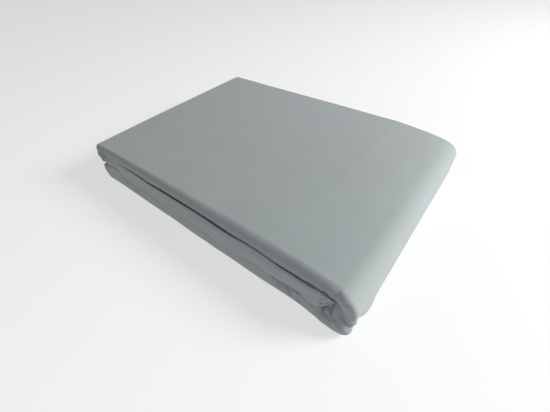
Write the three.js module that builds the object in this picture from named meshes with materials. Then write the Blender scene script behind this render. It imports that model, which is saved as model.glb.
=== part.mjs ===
// A bed sheet folded into a flat pack, standing on its broad side, in millimetres.
// +X runs along the pack towards the end that the cloth wraps round, -Y is the long side that
// shows the folds, +Z is up. The origin is under the middle of the pack, on the surface it lies on.
//
// How it is folded. The sheet is first folded lengthwise into a strip of four plies: the outer
// ply rolls over the strip's front edge and back underneath, and two more plies lie inside that
// roll. Then the strip is folded crosswise into five legs, one on another. It starts inside the
// pack at leg 2, turns back at the left into leg 1 at the bottom, goes up round the right end,
// comes back as leg 5 on top, turns under at the left into leg 4 and turns once more, at the
// right, into leg 3. The whole sheet is one solid of even thickness with its plies a little apart.
import * as THREE from "three";
import { mergeVertices } from "three/addons/utils/BufferGeometryUtils.js";

// ---- driving sizes, mm -------------------------------------------------------------------
const WIDTH = 268; // across the pack, from the front roll to the back folds
const RIGHT_END = 185; // outermost reach of the end wrap, before it is centred
const CLOTH = 1.7; // thickness of one ply as built; it stands for three thin plies of the real pack
const PLY_PITCH = 2.7; // from ply to ply inside the strip
const LEG_PITCH = 11.5; // from leg to leg
const LEG_COUNT = 5;

const ROLL_DEPTH = 6.5; // how deep a tall front roll is, front to back
const STEP_RADIUS = 1.8; // bend radius where a ply steps up or down into a tall front roll
const RECESS = 12.2; // how far the fronts of legs 2 and 3 stay back behind the tall rolls
const INNER_ROLL_BACK = 1; // the inner fold stops this far behind the step
const BACK_BLUNT = 0.88; // the back folds are pressed a little blunt
const BEND_Y = 50; // behind here, from the front plane, the plies lie plain
const TONGUE_INNER = 28; // at the inner turn the inner fold stays this far behind the front plane

const TOP_CORNER = 13; // bend radii of the strip's middle where it goes round the right end
const BOTTOM_CORNER = 9;
const TONGUE_X = 160.5; // axis of the inner turn from leg 4 to leg 3
const LEG2_END = 167; // free ends of the strip
const LEG3_END = -186;
const LEFT_TURN_LOW = -185; // axes of the two turns at the left
const LEFT_TURN_HIGH = -181;

const HALF = WIDTH / 2;
const FRONT = -HALF;
const STRIP = 1.5 * PLY_PITCH; // from the strip's middle to its outer plies
const TURN = LEG_PITCH / 2;
const legZ = (k) => CLOTH / 2 + STRIP + (k - 1) * LEG_PITCH;
const STACK = legZ(LEG_COUNT) + STRIP + CLOTH / 2;
const LOW_SEAM = legZ(2) + TURN; // between the bottom band and the middle one
const HIGH_SEAM = legZ(4) + TURN; // between the middle band and the top one

// ---- how the pack sags and bulges --------------------------------------------------------
// Along the front: the heights of the two seams between the three bands, and how far each band
// stands proud of the front plane.
const BANDS = [
  { x: -196, lowSeam: 25.5, highSeam: 43.5, bottomOut: -3.0, middleOut: -3.5, topOut: -0.5 },
  { x: -150, lowSeam: 25.0, highSeam: 45.5, bottomOut: -0.5, middleOut: -2.5, topOut: 0.0 },
  { x: -90, lowSeam: 22.5, highSeam: 46.2, bottomOut: 0.0, middleOut: -2.5, topOut: 0.0 },
  { x: -20, lowSeam: 21.5, highSeam: 47.2, bottomOut: 0.3, middleOut: -2.2, topOut: 0.3 },
  { x: 40, lowSeam: 19.6, highSeam: 46.4, bottomOut: 0.0, middleOut: -1.2, topOut: 0.0 },
  { x: 100, lowSeam: 20.2, highSeam: 46.4, bottomOut: 0.0, middleOut: 1.2, topOut: 0.0 },
  { x: 145, lowSeam: 19.0, highSeam: 45.4, bottomOut: -0.5, middleOut: 3.0, topOut: -0.3 },
  { x: 186, lowSeam: 20.0, highSeam: 44.8, bottomOut: -1.0, middleOut: 0.0, topOut: -1.0 },
];
// Along the top: how far it falls towards the right end, as a share of the fall there.
const NOSE = [
  { x: 105, share: 0.0 },
  { x: 133, share: 0.24 },
  { x: 148, share: 0.4 },
  { x: 163, share: 0.7 },
  { x: 170, share: 0.9 },
  { x: 178, share: 1.0 },
];
const NOSE_FALL_FRONT = 2.5;
const NOSE_FALL_BACK = 8;
const CROWN = 1.6; // the top is this much higher in its middle
const LEFT_SKEW = 0.25; // the upper left turn leans out below and in above
const CORNER_PULL = 6; // the foot of the near right corner is drawn in by this

// Where the front roll goes round the right end its inner edge gathers into one point: the row
// gives the strip's place along the turn (0 in leg 1, 1 in leg 5) and where the inner edge is.
const GATHER_FROM = 145; // x in leg 1 where the gathering starts
const GATHER_TO = 150; // x in leg 5 where it ends
const GATHER = [
  { along: 0.0, x: 145.0, z: 20.7 },
  { along: 0.14, x: 153.0, z: 20.3 },
  { along: 0.27, x: 159.0, z: 22.2 },
  { along: 0.42, x: 163.3, z: 28.5 },
  { along: 0.55, x: 165.6, z: 34.0 },
  { along: 0.67, x: 166.8, z: 38.0 },
  { along: 0.78, x: 167.0, z: 41.6 },
  { along: 0.88, x: 162.5, z: 45.2 },
  { along: 1.0, x: 150.0, z: 46.9 },
];
// The pleats of that gathering: each is a ridge that runs out from the gathered point.
const PLEATS = [
  { along: 0.16, spread: 0.035, proud: 2.2 },
  { along: 0.33, spread: 0.045, proud: 2.0 },
  { along: 0.5, spread: 0.04, proud: -2.4 },
  { along: 0.66, spread: 0.06, proud: 2.4 },
  { along: 0.82, spread: 0.03, proud: -1.0 },
];
// The lower lip of the middle band, where it rises to the gathered point.
const LIP = [
  { x: 130, rise: 0.0 },
  { x: 138, rise: 0.1 },
  { x: 144, rise: 0.26 },
  { x: 150, rise: 0.5 },
  { x: 155, rise: 0.8 },
  { x: 158, rise: 1.0 },
];
const TONGUE_PULL = 10; // the front of the inner turn stays this far behind its back
// Where each leg's plies end at the back.
const BACK = [
  { leg: 1, in: 0.0, hemTop: 3.0, hemInner: 6.0 },
  { leg: 2, in: 5.0, hemTop: 2.0, hemInner: 5.0 },
  { leg: 3, in: 2.5, hemTop: 4.0, hemInner: 2.0 },
  { leg: 4, in: 4.0, hemTop: 2.5, hemInner: 6.0 },
  { leg: 5, in: 0.0, hemTop: 3.5, hemInner: 1.5 },
];

// ---- small helpers -----------------------------------------------------------------------
const clamp01 = (t) => Math.min(1, Math.max(0, t));
const ease = (t) => clamp01(t) ** 2 * (3 - 2 * clamp01(t));
const mix = (a, b, t) => a + (b - a) * t;
// A column of a table at a place, eased from row to row.
function at(table, key, place, column) {
  if (place <= table[0][key]) return table[0][column];
  for (let i = 1; i < table.length; i++)
    if (place <= table[i][key]) {
      const t = (place - table[i - 1][key]) / (table[i][key] - table[i - 1][key]);
      const before = table[Math.max(0, i - 2)], after = table[Math.min(table.length - 1, i + 1)];
      const span = table[i][key] - table[i - 1][key];
      const m0 = ((table[i][column] - before[column]) / (table[i][key] - before[key])) * span;
      const m1 = ((after[column] - table[i - 1][column]) / (after[key] - table[i - 1][key])) * span;
      const a = table[i - 1][column], b = table[i][column];
      return (2 * t ** 3 - 3 * t ** 2 + 1) * a + (t ** 3 - 2 * t ** 2 + t) * m0 +
        (-2 * t ** 3 + 3 * t ** 2) * b + (t ** 3 - t ** 2) * m1;
    }
  return table[table.length - 1][column];
}

// ---- the strip's way through the pack ----------------------------------------------------
// Stations along the strip's middle, in the XZ plane: a place, the direction that faces out of
// the strip's roll (ox, oz), and the leg or turn that it belongs to.
const stations = [];
function run(leg, z, xs) {
  const out = leg === 1 || leg === 4 ? -1 : 1; // the outer ply faces down in legs 1 and 4
  for (const x of xs) stations.push({ x, z, ox: 0, oz: out, leg, turn: 0 });
}
// A bend round an axis, from one angle to another in degrees; the outer ply is outside or inside.
function bend(name, cx, cz, radius, from, to, steps, outside) {
  for (let i = 1; i < steps; i++) {
    const a = THREE.MathUtils.degToRad(mix(from, to, i / steps));
    const c = Math.cos(a), s = Math.sin(a), side = outside ? 1 : -1;
    stations.push({ x: cx + radius * c, z: cz + radius * s, ox: side * c, oz: side * s, leg: name, turn: i / steps });
  }
}
const WRAP_X = RIGHT_END - CLOTH / 2 - STRIP;
run(2, legZ(2), [LEG2_END, 50, -80, -155, -172, LEFT_TURN_LOW]);
bend("left-low", LEFT_TURN_LOW, legZ(1) + TURN, TURN, 90, 270, 6, true);
run(1, legZ(1), [LEFT_TURN_LOW, -172, -150, -80, 0, 80, 145, 158, WRAP_X - BOTTOM_CORNER]);
bend("wrap", WRAP_X - BOTTOM_CORNER, legZ(1) + BOTTOM_CORNER, BOTTOM_CORNER, -90, 0, 4, true);
for (const t of [0, 0.5, 1])
  stations.push({ x: WRAP_X, z: mix(legZ(1) + BOTTOM_CORNER, legZ(5) - TOP_CORNER, t), ox: 1, oz: 0, leg: "wrap", turn: t });
bend("wrap", WRAP_X - TOP_CORNER, legZ(5) - TOP_CORNER, TOP_CORNER, 0, 90, 5, true);
run(5, legZ(5), [WRAP_X - TOP_CORNER, 150, 122, 55, -35, -125, LEFT_TURN_HIGH]);
bend("left-high", LEFT_TURN_HIGH, legZ(4) + TURN, TURN, 90, 270, 6, true);
run(4, legZ(4), [LEFT_TURN_HIGH, -168, -150, -85, -15, 50, 105, 134, 144, 150, 154.5, 158, TONGUE_X]);
bend("tongue", TONGUE_X, legZ(3) + TURN, TURN, 90, -90, 6, false);
run(3, legZ(3), [TONGUE_X, 148, 60, -60, -150, -173, LEG3_END]);

// Where each station is along the turn round the right end, from 0 in leg 1 to 1 in leg 5.
const arcs = { leg1: WRAP_X - BOTTOM_CORNER - GATHER_FROM, foot: (BOTTOM_CORNER * Math.PI) / 2, up: legZ(5) - TOP_CORNER - legZ(1) - BOTTOM_CORNER, head: (TOP_CORNER * Math.PI) / 2, leg5: WRAP_X - TOP_CORNER - GATHER_TO };
const AROUND = arcs.leg1 + arcs.foot + arcs.up + arcs.head + arcs.leg5;
function along(s) {
  if (s.leg === 1) return (s.x - GATHER_FROM) / AROUND;
  if (s.leg === 5) return 1 - (s.x - GATHER_TO) / AROUND;
  if (s.leg !== "wrap") return null;
  const foot = arcs.leg1, up = foot + arcs.foot, head = up + arcs.up;
  if (s.oz < -1e-9) return (foot + (1 - Math.acos(Math.min(1, s.ox)) / (Math.PI / 2)) * arcs.foot) / AROUND;
  if (s.oz > 1e-9) return (head + (Math.acos(Math.min(1, s.ox)) / (Math.PI / 2)) * arcs.head) / AROUND;
  return (up + s.turn * arcs.up) / AROUND;
}

// What the strip's front roll does at a station: where its inner and outer edges lie in the XZ
// plane, how far back its front is, how deep it is, and how its pleats stand out.
function roll(s) {
  const inner = { x: s.x - s.ox * STRIP, z: s.z - s.oz * STRIP };
  const outer = { x: s.x + s.ox * STRIP, z: s.z + s.oz * STRIP };
  let recess = 0, out = 0, pleat = 0, pull = 0;
  const nearTongue = s.leg === "tongue" ? 1 : s.leg === 3 || s.leg === 4 ? ease((s.x - 130) / 14) : 0;
  const tallLow = LOW_SEAM - 0.55 - CLOTH / 2 - (legZ(1) + STRIP);
  const tallMiddle = legZ(4) - STRIP - (LOW_SEAM + 0.55 + CLOTH / 2);
  if (s.leg === 2) recess = mix(5, RECESS, ease((s.x + 187) / 14));
  if (s.leg === 3) recess = RECESS * mix(0.5, 1, ease((s.x + 188) / 14));
  if (s.leg === 4) recess = RECESS * 0.3 * ease((s.x - 140) / (TONGUE_X - 140));
  if (s.leg === "left-low") recess = mix(5, 0, s.turn);
  if (s.leg === "tongue") recess = RECESS * mix(0.3, 1, s.turn);
  if (s.leg === "tongue") pull = TONGUE_PULL;
  if (s.leg === 3) pull = TONGUE_PULL * ease((s.x - 105) / (TONGUE_X - 105));
  if (s.leg === 4) pull = TONGUE_PULL * ease((s.x - 105) / (TONGUE_X - 105));
  if (s.leg === 1) inner.z += tallLow * ease((s.x + 174) / 16);
  if (s.leg === 4) outer.z -= tallMiddle * ease((s.x + 176) / 18) * (1 - at(LIP, "x", s.x, "rise"));
  const a = along(s);
  if (a !== null && a > 0 && a < 1) {
    inner.x = at(GATHER, "along", a, "x");
    inner.z = at(GATHER, "along", a, "z");
    for (const p of PLEATS) pleat += p.proud * Math.exp(-(((a - p.along) / p.spread) ** 2));
  }
  if (s.leg === 1 || s.leg === 2 || s.leg === "left-low") out = at(BANDS, "x", s.x, "bottomOut");
  if (s.leg === 5) out = at(BANDS, "x", s.x, "topOut");
  if (s.leg === 3 || s.leg === 4 || s.leg === "tongue" || s.leg === "left-high") out = at(BANDS, "x", s.x, "middleOut");
  if (s.leg === "left-high") out = mix(at(BANDS, "x", s.x, "topOut"), out, s.turn);
  if (s.leg === "wrap") out = -1;
  const half = Math.hypot(outer.x - inner.x, outer.z - inner.z) / 2;
  const tall = clamp01((half - STRIP) / 6);
  return { inner, outer, front: FRONT + CLOTH / 2 + recess - out, depth: mix(STRIP, ROLL_DEPTH, tall), pleat, pull, nearTongue };
}

// ---- the strip's section -----------------------------------------------------------------
// One way through the section: plies D, A, B and C with the folds between them. Each entry gives
// the ply's offset from the strip's middle and a place along it, or an angle round a fold.
const section = [];
const ply = (name, offset, places) => places.forEach((place) => section.push({ kind: "ply", name, offset, place }));
const fold = (name, steps, from, to) => {
  for (let i = 1; i < steps; i++) section.push({ kind: name, angle: THREE.MathUtils.degToRad(mix(from, to, i / steps)) });
};
// Places are shares: 0 at the roll's axis, 1 where the step or the inner fold ends, 2 where the
// ply lies plain, 3 at the back. A step bends up to 0.45 and bends back from 0.55.
ply("D", -STRIP, [3, 2.5, 2, 1, 0.775, 0.55, 0.45, 0.225, 0]);
fold("outer", 6, -90, 90);
ply("A", STRIP, [0, 0.225, 0.45, 0.55, 0.775, 1, 2, 2.5, 3]);
fold("back", 4, 90, -90);
ply("B", PLY_PITCH / 2, [3, 2.5, 2, 1]);
fold("inner", 4, 90, -90);
ply("C", -PLY_PITCH / 2, [1, 2, 2.5, 3]);

// A ply's step between the strip and the edge of a front roll that is a given height away: how far
// it has run back from the roll's axis, and which share of the height is still left.
function stepAt(t, height) {
  const steep = height >= 2 * STEP_RADIUS ? Math.PI / 2 : Math.acos(1 - height / (2 * STEP_RADIUS));
  const angle = steep * Math.min(1, Math.min(t, 1 - t) / 0.45);
  const along = STEP_RADIUS * Math.sin(angle), fall = STEP_RADIUS * (1 - Math.cos(angle));
  const first = t < 0.5;
  const gone = height < 1e-6 ? t : (first ? fall : height - fall) / height;
  return { run: (first ? along : 2 * STEP_RADIUS * Math.sin(steep) - along) + (2 - 1.6 * Math.sin(steep)) * t, left: 1 - gone };
}

// The middle of the cloth at a station and a step of the section, before the pack sags.
function place(s, step, r) {
  const axis = r.front + r.depth;
  const turnLeg = { wrap: 5, tongue: 4, "left-low": 1, "left-high": 4 }[s.leg];
  const legRow = BACK[(turnLeg ?? s.leg) - 1];
  const backIn = (s.leg === "tongue" ? mix(BACK[3].in, BACK[2].in, s.turn) : s.leg === "wrap" ? 0 : legRow.in) * ease((RIGHT_END - Math.abs(s.x)) / 60);
  const backAxis = HALF - CLOTH / 2 - (PLY_PITCH / 2) * BACK_BLUNT - backIn;
  const offset = step.kind === "ply" ? step.offset : 0;
  const nominal = { x: s.x + s.ox * offset, z: s.z + s.oz * offset };
  const edge = step.name === "D" ? r.inner : r.outer;
  const height = Math.hypot(edge.x - nominal.x, edge.z - nominal.z);
  const tallest = Math.max(
    Math.hypot(r.inner.x - s.x + s.ox * STRIP, r.inner.z - s.z + s.oz * STRIP),
    Math.hypot(r.outer.x - s.x - s.ox * STRIP, r.outer.z - s.z - s.oz * STRIP),
  );
  const stepEnd = axis + stepAt(1, tallest).run;
  const bendY = FRONT + BEND_Y;
  const innerAxis = mix(stepEnd + INNER_ROLL_BACK + PLY_PITCH / 2, FRONT + TONGUE_INNER, r.nearTongue);
  let x, y, z;
  if (step.kind === "outer") {
    const c = Math.cos(step.angle), t = (1 + Math.sin(step.angle)) / 2;
    y = axis - (r.depth + r.pleat * (1 - 0.35 * t)) * c;
    x = mix(r.inner.x, r.outer.x, t);
    z = mix(r.inner.z, r.outer.z, t);
  } else if (step.kind === "back") {
    y = backAxis + (PLY_PITCH / 2) * BACK_BLUNT * Math.cos(step.angle);
    const h = PLY_PITCH + (PLY_PITCH / 2) * Math.sin(step.angle);
    x = s.x + s.ox * h;
    z = s.z + s.oz * h;
  } else if (step.kind === "inner") {
    y = innerAxis - (PLY_PITCH / 2) * Math.cos(step.angle);
    const h = (PLY_PITCH / 2) * Math.sin(step.angle);
    x = s.x + s.ox * h;
    z = s.z + s.oz * h;
  } else {
    const end = step.name === "D" ? HALF - CLOTH / 2 - legRow.hemTop - backIn : step.name === "C" ? HALF - CLOTH / 2 - legRow.hemInner - backIn : backAxis;
    const inside = step.name === "B" || step.name === "C";
    const taken = stepAt(Math.min(1, step.place), height);
    const left = inside ? 0 : taken.left;
    if (step.place <= 1) y = inside ? innerAxis : axis + taken.run;
    else if (step.place <= 2) y = mix(inside ? innerAxis : axis + taken.run, bendY, step.place - 1);
    else y = mix(bendY, end, step.place - 2);
    x = mix(nominal.x, edge.x, left);
    z = mix(nominal.z, edge.z, left);
  }
  x -= r.pull * clamp01((FRONT + BEND_Y - y) / (BEND_Y - 5));
  return settle(x, y, z);
}

// How the pack settles: the seams' heights, the crown of the top, its fall to the right end, the
// lean of the upper left turn and the drawn-in foot of the near corner.
function settle(x, y, z) {
  const across = clamp01((y + HALF) / WIDTH);
  const top = STACK + CROWN * (1 - (x / 200) ** 2) * (1 - (y / HALF) ** 2) - at(NOSE, "x", x, "share") * mix(NOSE_FALL_FRONT, NOSE_FALL_BACK, across);
  const squeeze = top / STACK;
  const levels = [
    { from: CLOTH, to: CLOTH }, // the lowest ply keeps its flat underside
    { from: LOW_SEAM, to: mix(at(BANDS, "x", x, "lowSeam"), LOW_SEAM, ease(across * 3)) * squeeze },
    { from: HIGH_SEAM, to: mix(at(BANDS, "x", x, "highSeam"), HIGH_SEAM, ease(across * 3)) * squeeze },
    { from: STACK, to: top },
  ];
  const lean = LEFT_SKEW * clamp01((-x - 165) / 15) * clamp01((z - 32) / 4);
  const pull = CORNER_PULL * clamp01((FRONT + BEND_Y - y) / (BEND_Y - 5)) * clamp01(1 - z / 42) * clamp01((x - 130) / 50);
  let h = z;
  for (let i = 1; i < levels.length && z > CLOTH; i++)
    if (z <= levels[i].from || i === levels.length - 1) {
      h = mix(levels[i - 1].to, levels[i].to, (z - levels[i - 1].from) / (levels[i].from - levels[i - 1].from));
      break;
    }
  return new THREE.Vector3(x + lean * (z - HIGH_SEAM) - pull, y, h);
}

// ---- the cloth ---------------------------------------------------------------------------
const middleGrid = stations.map((s) => {
  const r = roll(s);
  return section.map((step) => place(s, step, r));
});
const rows = middleGrid.length, cols = middleGrid[0].length;
function direction(before, here, after) {
  const d = new THREE.Vector3();
  if (after) d.add(after.clone().sub(here).normalize());
  if (before) d.add(here.clone().sub(before).normalize());
  return d.normalize();
}
// In the hollow of a sharp step the gathered cloth is pressed thinner, by this share.
function pressed(s, step, side) {
  const stepping = step.place > 0 && step.place < 1;
  if (stepping && step.name === "A" && s.leg === 4 && side < 0) return 0.75 * ease((s.x - 134) / 8);
  if (step.kind === "outer" && step.angle > 0.8 && s.leg === 4 && side < 0) return 0.6 * ease((s.x - 134) / 8);
  if (stepping && step.name === "D" && side > 0 && (s.leg === "wrap" || (s.leg === 5 && s.x > 140))) return 0.5;
  return 0;
}
// The cloth's two faces lie half its thickness to either side of its middle.
const faces = [1, -1].map((side) =>
  middleGrid.map((row, i) =>
    row.map((p, j) => {
      const half = (CLOTH / 2) * (1 - pressed(stations[i], section[j], side));
      const straight = section[j].kind === "ply"; // a ply runs straight into the folds at its ends
      const across = direction(
        straight && section[j - 1]?.kind !== "ply" ? null : row[j - 1],
        p,
        straight && section[j + 1]?.kind !== "ply" ? null : row[j + 1],
      );
      const down = direction(middleGrid[i - 1]?.[j], p, middleGrid[i + 1]?.[j]);
      return p.clone().addScaledVector(across.cross(down).normalize(), side * half);
    }),
  ),
);

const positions = [];
for (const face of faces) for (const row of face) for (const p of row) positions.push(p.x, p.y, p.z);
const index = [];
const id = (side, i, j) => side * rows * cols + i * cols + j;
for (let i = 0; i < rows - 1; i++)
  for (let j = 0; j < cols - 1; j++) {
    index.push(id(0, i, j), id(0, i, j + 1), id(0, i + 1, j + 1), id(0, i, j), id(0, i + 1, j + 1), id(0, i + 1, j));
    index.push(id(1, i, j), id(1, i + 1, j + 1), id(1, i, j + 1), id(1, i, j), id(1, i + 1, j), id(1, i + 1, j + 1));
  }
const rim = (i, j, k, l) => index.push(id(0, i, j), id(1, k, l), id(0, k, l), id(0, i, j), id(1, i, j), id(1, k, l));
for (let j = 0; j < cols - 1; j++) {
  rim(0, j, 0, j + 1);
  rim(rows - 1, j + 1, rows - 1, j);
}
for (let i = 0; i < rows - 1; i++) {
  rim(i + 1, 0, i, 0);
  rim(i, cols - 1, i + 1, cols - 1);
}
const cloth = new THREE.BufferGeometry();
cloth.setAttribute("position", new THREE.Float32BufferAttribute(positions, 3));
cloth.setIndex(index);

// The pack stands on its lowest ply, with the origin under its middle.
cloth.computeBoundingBox();
const box = cloth.boundingBox;
cloth.translate(-(box.min.x + box.max.x) / 2, -(box.min.y + box.max.y) / 2, -box.min.z);

const material = new THREE.MeshStandardMaterial({ color: new THREE.Color(0.56, 0.6, 0.59), roughness: 0.92, metalness: 0, name: "cotton" });
const sheet = new THREE.Mesh(mergeVertices(cloth, 1e-4), material);
sheet.name = "sheet";
const pack = new THREE.Group();
pack.name = "folded_sheet";
pack.add(sheet);
export default pack;
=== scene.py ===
import math

import bpy
import numpy as np
from mathutils import Matrix, Vector


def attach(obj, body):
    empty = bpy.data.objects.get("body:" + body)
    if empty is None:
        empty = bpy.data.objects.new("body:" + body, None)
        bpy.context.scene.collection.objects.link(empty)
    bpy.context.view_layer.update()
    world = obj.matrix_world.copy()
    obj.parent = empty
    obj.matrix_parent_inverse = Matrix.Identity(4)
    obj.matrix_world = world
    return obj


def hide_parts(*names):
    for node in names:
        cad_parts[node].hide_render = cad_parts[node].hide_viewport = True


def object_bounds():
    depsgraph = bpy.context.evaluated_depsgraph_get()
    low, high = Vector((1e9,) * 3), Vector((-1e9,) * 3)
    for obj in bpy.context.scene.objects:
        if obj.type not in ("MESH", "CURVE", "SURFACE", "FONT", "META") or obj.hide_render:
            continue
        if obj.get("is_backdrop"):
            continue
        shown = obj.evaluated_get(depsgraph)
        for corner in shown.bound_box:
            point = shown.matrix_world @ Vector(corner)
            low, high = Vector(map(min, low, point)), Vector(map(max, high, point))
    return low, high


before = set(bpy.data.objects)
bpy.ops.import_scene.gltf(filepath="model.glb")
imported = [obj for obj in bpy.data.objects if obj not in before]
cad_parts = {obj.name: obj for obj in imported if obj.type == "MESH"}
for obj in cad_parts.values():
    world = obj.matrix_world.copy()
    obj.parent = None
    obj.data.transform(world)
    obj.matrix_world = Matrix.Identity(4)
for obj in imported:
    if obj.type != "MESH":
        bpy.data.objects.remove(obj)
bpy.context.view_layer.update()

# A bed sheet folded into a flat pack, standing on its broad side. Sizes are in millimetres until
# the mesh is made. +X runs along the pack towards the end that the cloth wraps round, -Y is the
# long side that shows the folds, +Z is up.
#
# The sheet is a strip of four plies (D inside the front roll, A outside it, B and C between them)
# folded into five legs: 2 inside, a turn at the left, 1 at the bottom, up round the right end,
# 5 on top, a turn at the left, 4, a turn inside at the right, 3.

# ---- driving sizes -----------------------------------------------------------------------
WIDTH = 268.0
RIGHT_END = 185.0
CLOTH = 1.7
PLY_PITCH = 2.7
LEG_PITCH = 11.5
ROLL_DEPTH = 5.5
STEP_RADIUS = 1.8
RECESS = 12.2
INNER_ROLL_BACK = 1.0
BACK_BLUNT = 0.88
BEND_Y = 50.0
TONGUE_INNER = 28.0
TOP_CORNER = 13.0
BOTTOM_CORNER = 5.6
TONGUE_X = 160.5
LEG2_END, LEG3_END = 167.0, -186.0
LEFT_TURN_LOW, LEFT_TURN_HIGH = -188.3, -184.8
NOSE_FALL_FRONT, NOSE_FALL_BACK = 2.5, 8.0
CROWN = 1.6
LEFT_SKEW = 0.25
CORNER_PULL = 4.0
CORNER_REACH = 27.0  # the drawn-in foot reaches this far back from the front
TONGUE_PULL = 10.0
CENTRE_X, CENTRE_Y = 5.325, 1.449  # from the pack's driving axes to the middle of its box

HALF = WIDTH / 2
FRONT = -HALF
STRIP = 1.5 * PLY_PITCH
TURN = LEG_PITCH / 2


def leg_z(k):
    return CLOTH / 2 + STRIP + (k - 1) * LEG_PITCH


STACK = leg_z(5) + STRIP + CLOTH / 2
LOW_SEAM = leg_z(2) + TURN
HIGH_SEAM = leg_z(4) + TURN

# Heights of the two lines between the three front bands, along x.
HIGH_LINE = [
    ("x", "z"),
    (-196, 41.5), (-180, 42.0), (-165, 43.4), (-150, 44.6), (-125, 44.8), (-109, 46.2), (-90, 45.6), (-73, 44.7),
    (-52, 45.8), (-17, 46.6), (14, 46.7), (35, 45.8), (55, 45.0), (80, 46.8), (98, 45.8),
    (113, 44.7), (134, 45.2), (150, 44.8), (170, 44.0), (186, 44.0),
]
LOW_LINE = [
    ("x", "z"),
    (-196, 24.0), (-178, 26.0), (-164, 29.6), (-155, 30.4), (-147, 27.6), (-139, 24.0), (-131, 22.6), (-112, 23.8), (-97, 22.8), (-80, 21.8),
    (-55, 21.4), (-28, 22.0), (-11, 22.0), (5, 20.4), (28, 19.2), (49, 19.0), (70, 21.0),
    (84, 22.2), (101, 19.8), (109, 20.4), (131, 19.8), (150, 19.4), (186, 20.0),
]
# How far each band stands proud of the front plane.
PROUD = [
    ("x", "bottom", "middle", "top"),
    (-196, 0.8, 0.9, 1.0),
    (-184, 0.6, 0.5, 0.8),
    (-170, 0.3, -0.2, 0.1),
    (-150, 0.3, -0.1, 0.0),
    (-120, 0.5, 0.6, -0.2),
    (-90, 0.8, 1.0, -0.4),
    (-55, 0.9, 1.2, -0.6),
    (-20, 1.1, 1.4, -0.7),
    (10, 1.1, 1.4, -0.5),
    (40, 1.2, 1.5, -0.6),
    (70, 1.2, 1.6, -0.4),
    (100, 0.9, 1.6, -0.3),
    (125, 0.8, 2.2, -0.2),
    (142, 1.1, 2.8, -0.1),
    (152, 1.5, 1.9, 0.0),
    (160, 2.6, 0.9, 0.2),
    (186, 3.0, 0.5, 0.3),
]
# The gaps between the bands on the front, along x: narrow where they lie on each other, and
# standing open under the top's lip.
GAPS = [
    ("x", "high", "low", "drop"),
    (-196, 0.8, 0.9, 0.0), (-160, 0.7, 0.9, 0.2), (-140, 0.7, 0.45, 0.8), (-124, 1.0, 0.12, 1.6), (-100, 1.3, 0.05, 2.2),
    (-65, 1.9, 0.04, 3.0), (-20, 2.3, 0.04, 3.4), (10, 1.8, 0.06, 2.8), (35, 2.2, 0.08, 3.2), (58, 1.4, 0.10, 2.4),
    (80, 1.0, 0.15, 2.0), (100, 0.9, 0.6, 2.0), (120, 0.9, 1.2, 2.0), (150, 0.9, 0.8, 1.0), (186, 0.9, 0.5, 0.0),
]
# How far back the top's bow over its front edge begins, along x.
BOW = [
    ("x", "depth"),
    (-190, 5.0), (-150, 5.2), (-100, 6.0), (-40, 7.0), (10, 8.0), (60, 8.8), (130, 8.6), (165, 7.5), (186, 6.5),
]
# Where the front roll of the left turns gathers, before the pack settles.
LEFT_HIGH_EYE = -163.0
LEFT_LOW_EYE_X, LEFT_LOW_EYE_Z = -180.5, 20.6
# Along the top: how far it falls towards the right end, as a share of the fall there.
NOSE = [
    ("x", "share"),
    (105, 0.0), (133, 0.24), (148, 0.4), (163, 0.7), (170, 0.9), (178, 1.0),
]
# The gathered inner edge of the front roll round the right end, in real millimetres: place along
# the turn (0 in leg 1, 1 in leg 5), where the edge is, and how deep the roll is behind its front.
GATHER_FROM, GATHER_TO = 132.0, 140.0
GATHER = [
    ("along", "x", "z", "back"),
    (0.00, 132.0, 18.6, 0.0),
    (0.08, 140.5, 18.0, 3.0),
    (0.16, 148.5, 17.6, 6.0),
    (0.24, 154.5, 19.6, 7.0),
    (0.33, 159.5, 24.5, 7.0),
    (0.42, 162.4, 29.8, 6.5),
    (0.52, 164.3, 34.6, 6.0),
    (0.61, 165.6, 39.4, 4.5),
    (0.69, 166.4, 42.9, 1.0),
    (0.77, 163.6, 45.0, 0.2),
    (0.86, 157.0, 46.4, 0.0),
    (1.00, 140.0, 46.6, 0.0),
]
# The middle band's mouth at the right end, in real millimetres, along the strip in leg 4:
# its upper and lower edges run together in one point.
MOUTH = [
    ("x", "upperX", "upperZ", "lowerX", "lowerZ", "share"),
    (98.0, 98.0, 44.9, 98.0, 20.6, 0.0),
    (108.0, 108.0, 43.9, 108.5, 22.4, 1.0),
    (117.0, 117.0, 43.7, 118.0, 24.2, 1.0),
    (124.0, 124.5, 44.4, 126.5, 24.8, 1.0),
    (130.0, 131.0, 44.3, 133.6, 25.2, 1.0),
    (134.0, 136.0, 44.3, 138.0, 22.4, 1.0),
    (138.0, 141.0, 44.5, 141.2, 20.2, 1.0),
    (142.0, 146.0, 44.6, 145.2, 19.6, 1.0),
    (146.0, 150.0, 45.2, 149.8, 20.6, 1.0),
    (149.5, 153.6, 44.8, 154.2, 24.8, 1.0),
    (152.5, 157.2, 44.2, 158.0, 30.0, 1.0),
    (155.5, 160.6, 43.6, 161.2, 35.0, 1.0),
    (158.0, 163.4, 43.2, 163.8, 39.6, 1.0),
    (160.5, 165.6, 42.9, 165.9, 42.1, 1.0),
]
# Where each leg's plies end at the back.
BACK = [
    ("leg", "inset", "hemD", "hemC"),
    (1, 0.0, 3.0, 6.0),
    (2, 5.0, 2.0, 5.0),
    (3, 2.5, 4.0, 2.0),
    (4, 4.0, 2.5, 6.0),
    (5, 0.0, 3.5, 1.5),
]
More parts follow.
